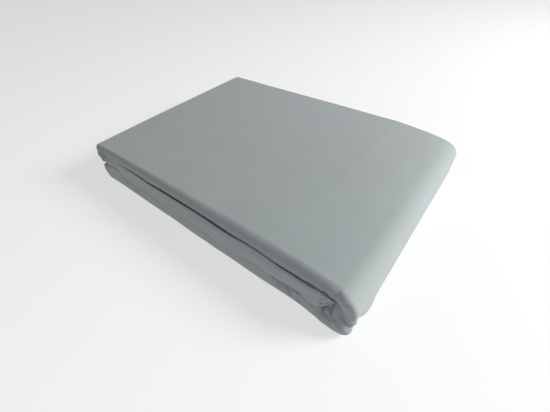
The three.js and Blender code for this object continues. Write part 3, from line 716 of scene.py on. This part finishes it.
# Radial creases round the upper left turn, and the folds that run on from it.
turn_x, turn_z = -176.0, 45.5
fan = np.degrees(np.arctan2(pz - turn_z, -(px - turn_x)))
reach = np.hypot(px - turn_x, pz - turn_z)
for middle, spread, high in [(-4, 6, -1.3), (-24, 7, 0.9), (-42, 5, -1.0), (-62, 8, 0.8), (-80, 5, -0.9)]:
    lift += row_(leg_is(LEFT_HIGH, 4, 5)) * on_roll * high * np.exp(-(((fan - middle) / spread) ** 2)) * ease((reach - 1) / 4) * ease((24 - reach) / 10) * (px < -150)

# Long soft waves of the bands and of the top.
across_arc = np.concatenate([[0], np.cumsum(np.linalg.norm(np.diff(P[rows // 2], axis=0), axis=-1))])
U = np.broadcast_to(row_(path), P.shape[:2])
V = np.broadcast_to(col_(across_arc), P.shape[:2])
band_wave = 0.45 * soft_noise(U, V * 2.2, 34, 11) + 0.25 * soft_noise(U, V * 2.0, 15, 12)
lift += row_(leg_is(1, 4)) * on_roll * c * band_wave
lift += row_(leg_is(5)) * on_roll * c * 0.5 * band_wave
top_wave = 0.30 * soft_noise(U, V, 85, 21) + 0.16 * soft_noise(U, V, 38, 22) + 0.05 * soft_noise(U, V, 15, 23)
lift += row_(leg_is(5, WRAP)) * (is_a > 0) * (place2 > 1) * top_wave * ease((place2 - 1.05) * 3)

P = P + N * lift[..., None]
P[..., 1] -= push
N = normals(P)
half = CLOTH / 2 - THIN * np.broadcast_to(thin, P.shape[:2])
hem_way = np.minimum(V - V.min(), V.max() - V)
half = half + 0.12 * (1 - ease((hem_way - 13.0) / 1.0)) - 0.14 * np.exp(-(((hem_way - 13.6) / 0.9) ** 2))


# ---- the mesh ----------------------------------------------------------------------------
upper = P + N * half[..., None]
upper[..., 2] = np.maximum(upper[..., 2], 0.0)
lower = P - N * half[..., None]
lower[..., 2] = np.maximum(lower[..., 2], 0.02)

verts = [upper.reshape(-1, 3)]
tris = []
uvs = [np.stack([U, V], -1).reshape(-1, 2)]
index = np.arange(rows * cols).reshape(rows, cols)
a, b, c_, d_ = index[:-1, :-1], index[:-1, 1:], index[1:, 1:], index[1:, :-1]
quads = np.stack([a, b, c_, d_], -1).reshape(-1, 4)

pick_r = np.unique(np.concatenate([np.arange(0, rows, 3), [rows - 1]]))
pick_c = np.unique(np.concatenate([np.arange(0, cols, 2), [cols - 1]]))
coarse = lower[np.ix_(pick_r, pick_c)]
base = rows * cols
inner_index = base + np.arange(coarse.shape[0] * coarse.shape[1]).reshape(coarse.shape[:2])
verts.append(coarse.reshape(-1, 3))
uvs.append(np.stack([U, V], -1)[np.ix_(pick_r, pick_c)].reshape(-1, 2))
a, b, c_, d_ = inner_index[:-1, :-1], inner_index[:-1, 1:], inner_index[1:, 1:], inner_index[1:, :-1]
inner_quads = np.stack([a, d_, c_, b], -1).reshape(-1, 4)
base += inner_index.size

# The rim runs round the sheet's four edges. Its profile has fine grooves, because each ply that
# is modelled stands for a few real ones.
loop = (
    [(0, j) for j in range(cols - 1)] + [(i, cols - 1) for i in range(rows - 1)]
    + [(rows - 1, j) for j in range(cols - 1, 0, -1)] + [(i, 0) for i in range(rows - 1, 0, -1)]
)
li, lj = np.array(loop).T
edge_out = np.zeros((len(loop), 3))
down_dir = unit(np.gradient(P, axis=0))
across_dir = unit(np.gradient(P, axis=1))
edge_out[li == 0] -= down_dir[li[li == 0], lj[li == 0]]
edge_out[li == rows - 1] += down_dir[li[li == rows - 1], lj[li == rows - 1]]
edge_out[lj == 0] -= across_dir[li[lj == 0], lj[lj == 0]]
edge_out[lj == cols - 1] += across_dir[li[lj == cols - 1], lj[lj == cols - 1]]
edge_out = unit(edge_out)
RIM = [("height", "out"), (0.62, 0.24), (0.34, -0.05), (0.16, 0.26), (-0.14, 0.24), (-0.34, -0.06), (-0.62, 0.22)]
loops = [index[li, lj]]
for rise_, out_ in RIM[1:]:
    ring = P[li, lj] + N[li, lj] * (half[li, lj] * rise_)[:, None] + edge_out * out_
    ring[:, 2] = np.maximum(ring[:, 2], 0.01)
    verts.append(ring)
    uvs.append(np.stack([U[li, lj], V[li, lj]], -1))
    loops.append(base + np.arange(len(loop)))
    base += len(loop)
rim_quads = []
for one, two in zip(loops[:-1], loops[1:]):
    rim_quads.append(np.stack([one, two, np.roll(two, -1), np.roll(one, -1)], -1))
rim_quads = np.concatenate(rim_quads)
# The last ring is joined to the coarser inner face.
row_of = {int(r): k for k, r in enumerate(pick_r)}
col_of = {int(q): k for k, q in enumerate(pick_c)}
anchors = [(n, inner_index[row_of[i], col_of[j]]) for n, (i, j) in enumerate(loop) if i in row_of and j in col_of and (i in (0, rows - 1) or j in (0, cols - 1))]
ring = loops[-1]
count = len(loop)
for k, (n0, v0) in enumerate(anchors):
    n1, v1 = anchors[(k + 1) % len(anchors)]
    span = (n1 - n0) % count
    mid = span // 2
    for s in range(mid):
        tris.append((ring[(n0 + s) % count], v0, ring[(n0 + s + 1) % count]))
    tris.append((ring[(n0 + mid) % count], v0, v1))
    for s in range(mid, span):
        tris.append((ring[(n0 + s) % count], v1, ring[(n0 + s + 1) % count]))

points = np.concatenate(verts)
points = (points + [CENTRE_X, CENTRE_Y, 0.0]) / 1000.0
all_uv = np.concatenate(uvs) / 1000.0
polys = [tuple(int(v) for v in q) for q in np.concatenate([quads, inner_quads, rim_quads])] + [tuple(int(v) for v in q) for q in tris]

mesh = bpy.data.meshes.new("cotton_sheet")
mesh.from_pydata(points.tolist(), [], polys)
mesh.update()
size = sum(p.normal.dot(p.center) * p.area for p in mesh.polygons) / 3
if size < 0:
    mesh.flip_normals()
loops_v = np.zeros(len(mesh.loops), np.int32)
mesh.loops.foreach_get("vertex_index", loops_v)
layer = mesh.uv_layers.new(name="cloth")
layer.data.foreach_set("uv", all_uv[loops_v].astype(np.float32).ravel())
mesh.shade_smooth()
mesh.set_sharp_from_angle(angle=math.radians(65))
print("sheet triangles", sum(len(p.vertices) - 2 for p in mesh.polygons), "rows", rows, "cols", cols, "volume cm3", abs(size) * 1e6)

# ---- the cotton --------------------------------------------------------------------------
def cotton(name, base):
    m = bpy.data.materials.new(name)
    m.use_nodes = True
    nt = m.node_tree
    nt.nodes.clear()
    new = lambda kind_, **k: _node(nt, kind_, k)
    out_ = new("ShaderNodeOutputMaterial")
    bsdf = new("ShaderNodeBsdfPrincipled")
    bsdf.inputs["Roughness"].default_value = 0.9
    bsdf.inputs["Specular IOR Level"].default_value = 0.25
    bsdf.inputs["Sheen Weight"].default_value = 0.18
    bsdf.inputs["Sheen Roughness"].default_value = 0.55
    bsdf.inputs["Sheen Tint"].default_value = (0.94, 0.97, 1.0, 1.0)
    nt.links.new(bsdf.outputs["BSDF"], out_.inputs["Surface"])
    uv = new("ShaderNodeUVMap")
    uv.uv_map = "cloth"
    sep = new("ShaderNodeSeparateXYZ")
    nt.links.new(uv.outputs["UV"], sep.inputs[0])

    def maths(op, a_, b_=None, c2=None):
        n = new("ShaderNodeMath")
        n.operation = op
        for i_, v_ in enumerate((a_, b_, c2)):
            if v_ is None:
                continue
            if isinstance(v_, (int, float)):
                n.inputs[i_].default_value = v_
            else:
                nt.links.new(v_, n.inputs[i_])
        return n.outputs[0]

    # Threads a third of a millimetre apart, going over and under each other, with uneven yarn.
    slub = new("ShaderNodeTexNoise")
    slub.inputs["Scale"].default_value = 60.0
    slub.inputs["Detail"].default_value = 3.0
    nt.links.new(uv.outputs["UV"], slub.inputs["Vector"])
    drift = maths("MULTIPLY", slub.outputs["Fac"], 1.6)
    turn_u = maths("ADD", maths("MULTIPLY", sep.outputs[0], 2 * math.pi / 0.00076), drift)
    turn_v = maths("ADD", maths("MULTIPLY", sep.outputs[1], 2 * math.pi / 0.00076), drift)
    su, sv = maths("SINE", turn_u), maths("SINE", turn_v)
    over = maths("MULTIPLY", su, sv)
    warp = maths("ABSOLUTE", maths("SINE", turn_u))
    weft = maths("ABSOLUTE", maths("SINE", turn_v))
    pick_ = maths("GREATER_THAN", over, 0.0)
    weave = maths("ADD", maths("MULTIPLY", warp, pick_), maths("MULTIPLY", weft, maths("SUBTRACT", 1.0, pick_)))

    # Colour: thread by thread, in soft streaks along both thread ways, and in wide faint clouds.
    stretch = new("ShaderNodeMapping")
    stretch.inputs["Scale"].default_value = (40.0, 2600.0, 1.0)
    nt.links.new(uv.outputs["UV"], stretch.inputs["Vector"])
    streak_a = new("ShaderNodeTexNoise")
    streak_a.inputs["Scale"].default_value = 1.0
    streak_a.inputs["Detail"].default_value = 2.0
    nt.links.new(stretch.outputs[0], streak_a.inputs["Vector"])
    stretch_b = new("ShaderNodeMapping")
    stretch_b.inputs["Scale"].default_value = (2600.0, 40.0, 1.0)
    nt.links.new(uv.outputs["UV"], stretch_b.inputs["Vector"])
    streak_b = new("ShaderNodeTexNoise")
    streak_b.inputs["Scale"].default_value = 1.0
    streak_b.inputs["Detail"].default_value = 2.0
    nt.links.new(stretch_b.outputs[0], streak_b.inputs["Vector"])
    cloud = new("ShaderNodeTexNoise")
    cloud.inputs["Scale"].default_value = 22.0
    cloud.inputs["Detail"].default_value = 2.5
    place_ = new("ShaderNodeTexCoord")
    nt.links.new(place_.outputs["Object"], cloud.inputs["Vector"])
    tone = maths("ADD", maths("MULTIPLY", streak_a.outputs["Fac"], 0.10), maths("MULTIPLY", streak_b.outputs["Fac"], 0.10))
    tone = maths("ADD", tone, maths("MULTIPLY", cloud.outputs["Fac"], 0.07))
    tone = maths("ADD", tone, maths("MULTIPLY", weave, 0.05))
    tone = maths("ADD", tone, 1.0 - 0.05 - 0.05 - 0.035 - 0.032)
    tint = new("ShaderNodeMix")
    tint.data_type = "RGBA"
    tint.blend_type = "MULTIPLY"
    tint.inputs[0].default_value = 1.0
    tint.inputs[6].default_value = (*base, 1.0)
    grey = new("ShaderNodeCombineColor")
    for i_ in range(3):
        nt.links.new(tone, grey.inputs[i_])
    nt.links.new(grey.outputs[0], tint.inputs[7])
    # a breath of green against blue, from place to place
    hue = new("ShaderNodeTexNoise")
    hue.inputs["Scale"].default_value = 9.0
    hue.inputs["Detail"].default_value = 1.0
    nt.links.new(place_.outputs["Object"], hue.inputs["Vector"])
    lean_ = new("ShaderNodeMix")
    lean_.data_type = "RGBA"
    lean_.blend_type = "MULTIPLY"
    lean_.inputs[0].default_value = 1.0
    ramp = new("ShaderNodeMix")
    ramp.data_type = "RGBA"
    ramp.inputs[6].default_value = (0.985, 1.0, 0.97, 1.0)
    ramp.inputs[7].default_value = (1.0, 0.995, 1.025, 1.0)
    nt.links.new(hue.outputs["Fac"], ramp.inputs[0])
    nt.links.new(tint.outputs[2], lean_.inputs[6])
    nt.links.new(ramp.outputs[2], lean_.inputs[7])
    nt.links.new(lean_.outputs[2], bsdf.inputs["Base Color"])

    bump = new("ShaderNodeBump")
    bump.inputs["Strength"].default_value = 0.22
    bump.inputs["Distance"].default_value = 0.00012
    nt.links.new(weave, bump.inputs["Height"])
    pucker = new("ShaderNodeTexNoise")
    pucker.inputs["Scale"].default_value = 260.0
    pucker.inputs["Detail"].default_value = 3.0
    nt.links.new(uv.outputs["UV"], pucker.inputs["Vector"])
    bump_b = new("ShaderNodeBump")
    bump_b.inputs["Strength"].default_value = 0.2
    bump_b.inputs["Distance"].default_value = 0.0004
    nt.links.new(pucker.outputs["Fac"], bump_b.inputs["Height"])
    nt.links.new(bump.outputs["Normal"], bump_b.inputs["Normal"])
    nt.links.new(bump_b.outputs["Normal"], bsdf.inputs["Normal"])
    return m


def _node(nt, kind_, settings):
    n = nt.nodes.new(kind_)
    for k, v in settings.items():
        setattr(n, k, v)
    return n


BASE = (0.238, 0.262, 0.257)
sheet = bpy.data.objects.new("cotton_sheet", mesh)
bpy.context.scene.collection.objects.link(sheet)
mesh.materials.append(cotton("cotton", BASE))
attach(sheet, "root")
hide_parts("sheet")

# ---- floor, light and camera -------------------------------------------------------------
floor_mesh = bpy.data.meshes.new("floor")
REACH = 4.0
floor_mesh.from_pydata([(-REACH, -REACH, 0), (REACH, -REACH, 0), (REACH, REACH, 0), (-REACH, REACH, 0)], [], [(0, 1, 2, 3)])
floor = bpy.data.objects.new("floor", floor_mesh)
floor.location.z = -0.0002
bpy.context.scene.collection.objects.link(floor)
fm = bpy.data.materials.new("floor")
fm.use_nodes = True
fb = fm.node_tree.nodes["Principled BSDF"]
fb.inputs["Base Color"].default_value = (0.26, 0.26, 0.26, 1)
fb.inputs["Roughness"].default_value = 1.0
fb.inputs["Specular IOR Level"].default_value = 0.0
fb.inputs["Emission Color"].default_value = (1, 1, 1, 1)
fb.inputs["Emission Strength"].default_value = 0.60
floor_mesh.materials.append(fm)
floor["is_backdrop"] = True

world = bpy.data.worlds.new("studio")
bpy.context.scene.world = world
world.use_nodes = True
wb = world.node_tree.nodes["Background"]
wb.inputs["Color"].default_value = (1, 1, 1, 1)
# a pale wall all round, dimmer overhead
way = world.node_tree.nodes.new("ShaderNodeTexCoord")
parts = world.node_tree.nodes.new("ShaderNodeSeparateXYZ")
fade = world.node_tree.nodes.new("ShaderNodeMapRange")
fade.interpolation_type = "SMOOTHSTEP"
for key_, value_ in {"From Min": 0.24, "From Max": 0.42, "To Min": 0.56, "To Max": 0.19}.items():
    fade.inputs[key_].default_value = value_
world.node_tree.links.new(way.outputs["Generated"], parts.inputs[0])
world.node_tree.links.new(parts.outputs[2], fade.inputs[0])
world.node_tree.links.new(fade.outputs[0], wb.inputs["Strength"])


def area_light(name, where, target, size_, power, colour=(1, 1, 1)):
    data = bpy.data.lights.new(name, "AREA")
    data.shape = "DISK"
    data.size = size_
    data.energy = power
    data.color = colour
    o = bpy.data.objects.new(name, data)
    bpy.context.scene.collection.objects.link(o)
    o.location = where
    o.rotation_mode = "QUATERNION"
    o.rotation_quaternion = (Vector(target) - Vector(where)).to_track_quat("-Z", "Y")
    return o


elevation, azimuth, away = math.radians(31), math.radians(30), 1.7
where = Vector((math.cos(elevation) * math.cos(azimuth), math.cos(elevation) * math.sin(azimuth), math.sin(elevation))) * away
KEY = 1.65  # irradiance over pi at the pack
area_light("key", where, (0, 0, 0.03), 0.7, KEY * math.pi * math.pi * away**2)

fill_at = Vector((0.42, -0.72, 0.62))
FILL = 0.22
area_light("fill", fill_at, (0.1, -0.1, 0.03), 0.6, FILL * math.pi * math.pi * fill_at.length**2, (0.88, 0.92, 1.0))

YAW, PITCH, ROLL = (math.radians(v) for v in (-40.39, 43.91, -3.32))
look = Vector((math.sin(YAW) * math.cos(PITCH), math.cos(YAW) * math.cos(PITCH), -math.sin(PITCH)))
right = Vector((math.cos(YAW), -math.sin(YAW), 0))
upward = right.cross(look)
right2 = right * math.cos(ROLL) + upward * math.sin(ROLL)
up2 = -right * math.sin(ROLL) + upward * math.cos(ROLL)
cam_data = bpy.data.cameras.new("camera")
cam_data.sensor_width = 36.0
cam_data.lens = 298.6 / 550 * 36.0
cam_data.clip_start = 0.01
camera = bpy.data.objects.new("camera", cam_data)
bpy.context.scene.collection.objects.link(camera)
m = Matrix((right2, up2, -look)).transposed().to_4x4()
m.translation = Vector((0.2067 + CENTRE_X / 1000, -0.2456 + CENTRE_Y / 1000, 0.2550))
camera.matrix_world = m
bpy.context.scene.camera = camera
bpy.context.scene.view_settings.view_transform = "Standard"
bpy.context.scene.view_settings.look = "None"

low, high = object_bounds()
